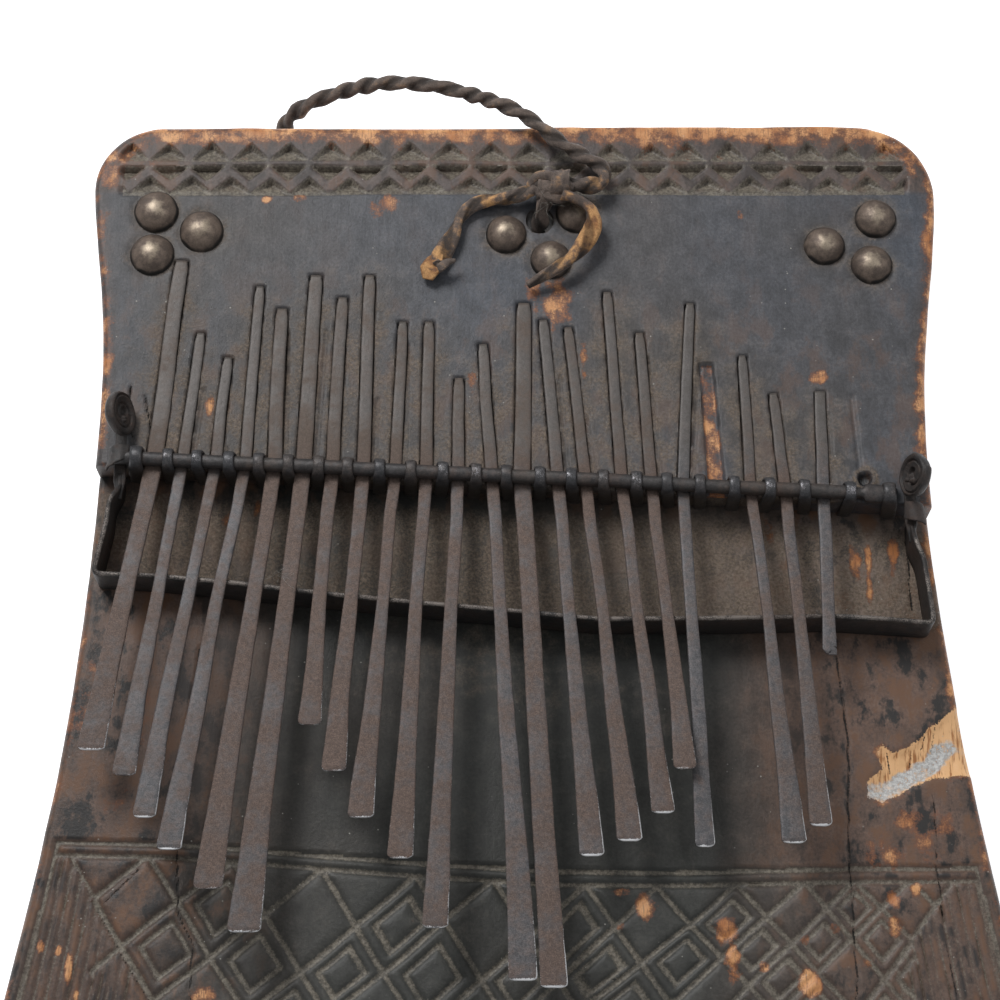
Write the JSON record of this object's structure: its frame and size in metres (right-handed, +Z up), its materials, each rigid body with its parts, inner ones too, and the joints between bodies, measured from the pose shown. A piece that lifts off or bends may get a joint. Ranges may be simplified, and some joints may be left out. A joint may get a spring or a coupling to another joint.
{
  "type": "mbira",
  "caption": "Bell-shaped hollowed hardwood lamellophone with forged iron tines over a strap bridge, hooped pressure bar, brass tacks and hide thong.",
  "frame": {"origin": "under the middle of the body, on the flat of the back that it rests on, at the centre of the outline measured without the thong", "axes": "+X to the player's right, +Y along the tines towards the far end with the thong, +Z up out of the playing face"},
  "size_m": [0.2443, 0.2693, 0.0469],
  "materials": {
    "dark_hardwood": "blackened, oiled by handling, worn to orange wood on the rims",
    "forged_iron": "dark hammer-scaled iron rod",
    "hoop_iron": "dark iron strip, rubbed bright on the crowns",
    "strap_iron": "dark iron strap with rust bloom",
    "tine_iron": "hammered iron, rust-brown, bright at the plucked tips",
    "aged_brass": "tarnished grey-brown brass",
    "hide_thong": "dry twisted hide, grey-brown to orange"
  },
  "bodies": {
    "root": {"sound_board": "dark_hardwood", "pressure_bar": "forged_iron", "bar_hoops": "hoop_iron", "end_hoop_left": "hoop_iron", "end_hoop_right": "hoop_iron", "bridge": "strap_iron", "tacks_left": "aged_brass", "tacks_right": "aged_brass", "tacks_hole": "aged_brass", "thong_knot": "hide_thong", "thong_loop": "hide_thong", "thong_tail_left": "hide_thong", "thong_tail_right": "hide_thong", "tine_01_tail": "tine_iron", "tine_02_tail": "tine_iron", "tine_03_tail": "tine_iron", "tine_04_tail": "tine_iron", "tine_05_tail": "tine_iron", "tine_06_tail": "tine_iron", "tine_07_tail": "tine_iron", "tine_08_tail": "tine_iron", "tine_09_tail": "tine_iron", "tine_10_tail": "tine_iron", "tine_11_tail": "tine_iron", "tine_12_tail": "tine_iron", "tine_13_tail": "tine_iron", "tine_14_tail": "tine_iron", "tine_15_tail": "tine_iron", "tine_16_tail": "tine_iron", "tine_17_tail": "tine_iron", "tine_18_tail": "tine_iron", "tine_19_tail": "tine_iron", "tine_20_tail": "tine_iron", "tine_21_tail": "tine_iron"},
    "tine_01": {"tine_01_tongue": "tine_iron"},
    "tine_02": {"tine_02_tongue": "tine_iron"},
    "tine_03": {"tine_03_tongue": "tine_iron"},
    "tine_04": {"tine_04_tongue": "tine_iron"},
    "tine_05": {"tine_05_tongue": "tine_iron"},
    "tine_06": {"tine_06_tongue": "tine_iron"},
    "tine_07": {"tine_07_tongue": "tine_iron"},
    "tine_08": {"tine_08_tongue": "tine_iron"},
    "tine_09": {"tine_09_tongue": "tine_iron"},
    "tine_10": {"tine_10_tongue": "tine_iron"},
    "tine_11": {"tine_11_tongue": "tine_iron"},
    "tine_12": {"tine_12_tongue": "tine_iron"},
    "tine_13": {"tine_13_tongue": "tine_iron"},
    "tine_14": {"tine_14_tongue": "tine_iron"},
    "tine_15": {"tine_15_tongue": "tine_iron"},
    "tine_16": {"tine_16_tongue": "tine_iron"},
    "tine_17": {"tine_17_tongue": "tine_iron"},
    "tine_18": {"tine_18_tongue": "tine_iron"},
    "tine_19": {"tine_19_tongue": "tine_iron"},
    "tine_20": {"tine_20_tongue": "tine_iron"},
    "tine_21": {"tine_21_tongue": "tine_iron"}
  },
  "joints": [
    {"name": "tine_01_flex", "type": "hinge", "parent": "root", "child": "tine_01", "pos_m": [-0.09159, 0.00601, 0.03982], "axis": [0.9891, -0.1474, 0], "range_deg": [-2.63, 2.63], "stiffness_Nm_per_rad": 9.27},
    {"name": "tine_02_flex", "type": "hinge", "parent": "root", "child": "tine_02", "pos_m": [-0.08406, 0.00549, 0.03982], "axis": [0.9923, -0.1236, 0], "range_deg": [-2.34, 2.34], "stiffness_Nm_per_rad": 6.61},
    {"name": "tine_03_flex", "type": "hinge", "parent": "root", "child": "tine_03", "pos_m": [-0.07674, 0.0047, 0.03982], "axis": [0.9897, -0.1434, 0], "range_deg": [-1.96, 1.96], "stiffness_Nm_per_rad": 5.41},
    {"name": "tine_04_flex", "type": "hinge", "parent": "root", "child": "tine_04", "pos_m": [-0.06965, 0.00395, 0.03982], "axis": [0.9894, -0.1451, 0], "range_deg": [-1.76, 1.76], "stiffness_Nm_per_rad": 5.14},
    {"name": "tine_05_flex", "type": "hinge", "parent": "root", "child": "tine_05", "pos_m": [-0.06159, 0.00309, 0.03981], "axis": [0.9935, -0.1137, 0], "range_deg": [-1.57, 1.57], "stiffness_Nm_per_rad": 5.41},
    {"name": "tine_06_flex", "type": "hinge", "parent": "root", "child": "tine_06", "pos_m": [-0.0539, 0.00227, 0.03981], "axis": [0.9958, -0.0914, 0], "range_deg": [-1.4, 1.4], "stiffness_Nm_per_rad": 5.32},
    {"name": "tine_07_flex", "type": "hinge", "parent": "root", "child": "tine_07", "pos_m": [-0.04577, 0.00142, 0.03981], "axis": [0.9984, -0.0563, 0], "range_deg": [-3.52, 3.52], "stiffness_Nm_per_rad": 10.42},
    {"name": "tine_08_flex", "type": "hinge", "parent": "root", "child": "tine_08", "pos_m": [-0.03877, 0.00069, 0.03981], "axis": [0.9975, -0.0707, 0], "range_deg": [-2.68, 2.68], "stiffness_Nm_per_rad": 8.17},
    {"name": "tine_09_flex", "type": "hinge", "parent": "root", "child": "tine_09", "pos_m": [-0.03132, -0.00008, 0.0398], "axis": [0.997, -0.077, 0], "range_deg": [-2.16, 2.16], "stiffness_Nm_per_rad": 6.59},
    {"name": "tine_10_flex", "type": "hinge", "parent": "root", "child": "tine_10", "pos_m": [-0.02299, -0.00095, 0.0398], "axis": [0.9986, -0.0521, 0], "range_deg": [-1.86, 1.86], "stiffness_Nm_per_rad": 5.68},
    {"name": "tine_11_flex", "type": "hinge", "parent": "root", "child": "tine_11", "pos_m": [-0.01494, -0.00178, 0.0398], "axis": [0.9992, -0.0412, 0], "range_deg": [-1.49, 1.49], "stiffness_Nm_per_rad": 4.56},
    {"name": "tine_12_flex", "type": "hinge", "parent": "root", "child": "tine_12", "pos_m": [-0.00323, -0.00283, 0.03979], "axis": [0.9983, 0.0584, 0], "range_deg": [-1.3, 1.3], "stiffness_Nm_per_rad": 4.29},
    {"name": "tine_13_flex", "type": "hinge", "parent": "root", "child": "tine_13", "pos_m": [0.00388, -0.00347, 0.03979], "axis": [0.9985, 0.0555, 0], "range_deg": [-1.29, 1.29], "stiffness_Nm_per_rad": 4.46},
    {"name": "tine_14_flex", "type": "hinge", "parent": "root", "child": "tine_14", "pos_m": [0.01329, -0.00432, 0.03979], "axis": [0.9972, 0.0745, 0], "range_deg": [-1.98, 1.98], "stiffness_Nm_per_rad": 5.92},
    {"name": "tine_15_flex", "type": "hinge", "parent": "root", "child": "tine_15", "pos_m": [0.02094, -0.00495, 0.03979], "axis": [0.995, 0.0996, 0], "range_deg": [-2.13, 2.13], "stiffness_Nm_per_rad": 6.36},
    {"name": "tine_16_flex", "type": "hinge", "parent": "root", "child": "tine_16", "pos_m": [0.0295, -0.00495, 0.03979], "axis": [0.9953, 0.0972, 0], "range_deg": [-2.42, 2.42], "stiffness_Nm_per_rad": 6.76},
    {"name": "tine_17_flex", "type": "hinge", "parent": "root", "child": "tine_17", "pos_m": [0.03614, -0.00495, 0.03979], "axis": [0.9966, 0.0824, 0], "range_deg": [-1.85, 1.85], "stiffness_Nm_per_rad": 8.49},
    {"name": "tine_18_flex", "type": "hinge", "parent": "root", "child": "tine_18", "pos_m": [0.04184, -0.00495, 0.03979], "axis": [0.9995, 0.0323, 0], "range_deg": [-1.47, 1.47], "stiffness_Nm_per_rad": 5.22},
    {"name": "tine_19_flex", "type": "hinge", "parent": "root", "child": "tine_19", "pos_m": [0.05965, -0.00464, 0.0398], "axis": [0.997, 0.0779, 0], "range_deg": [-2.1, 2.1], "stiffness_Nm_per_rad": 5.93},
    {"name": "tine_20_flex", "type": "hinge", "parent": "root", "child": "tine_20", "pos_m": [0.06727, -0.00449, 0.03981], "axis": [0.9984, 0.0559, 0], "range_deg": [-2.26, 2.26], "stiffness_Nm_per_rad": 6.16},
    {"name": "tine_21_flex", "type": "hinge", "parent": "root", "child": "tine_21", "pos_m": [0.07403, -0.00436, 0.03981], "axis": [0.9999, -0.0143, 0], "range_deg": [-3.13, 3.13], "stiffness_Nm_per_rad": 25.79}
  ]
}
